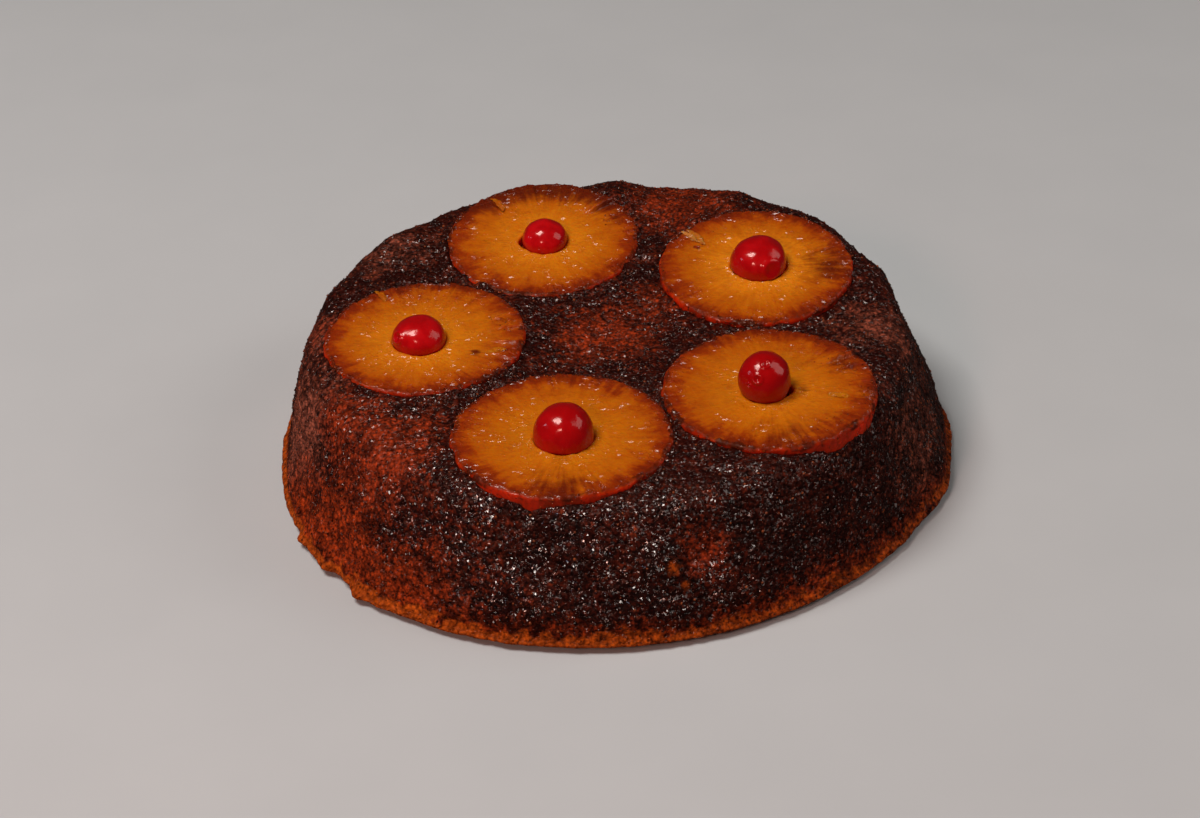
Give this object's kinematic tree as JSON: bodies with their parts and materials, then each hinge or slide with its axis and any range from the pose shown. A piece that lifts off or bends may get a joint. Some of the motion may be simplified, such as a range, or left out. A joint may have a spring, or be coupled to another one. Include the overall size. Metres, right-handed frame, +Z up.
{
  "type": "pineapple upside-down cake",
  "caption": "Round upside-down cake with flared sides and a dark caramel crust, topped with pineapple rings that each hold a cherry.",
  "frame": {"origin": "middle of the flat base, in the plane that the cake rests on", "axes": "+Z up, -Y towards the front as pictured, +X to the right"},
  "size_m": [0.2652, 0.2606, 0.0723],
  "materials": {
    "crust": "baked sponge with a dark, sticky, half-gloss caramel crust",
    "pineapple": "wet baked pineapple flesh, golden with browned edges",
    "cherry": "deep red glazed cherry, glossy"
  },
  "bodies": {
    "root": {"cake": "crust", "pineapple_ring_back_left": "pineapple", "pineapple_ring_back_right": "pineapple", "pineapple_ring_left": "pineapple", "pineapple_ring_front_right": "pineapple", "pineapple_ring_front": "pineapple", "cherry_back_left": "cherry", "cherry_back_right": "cherry", "cherry_left": "cherry", "cherry_front_right": "cherry", "cherry_front": "cherry"}
  },
  "joints": []
}
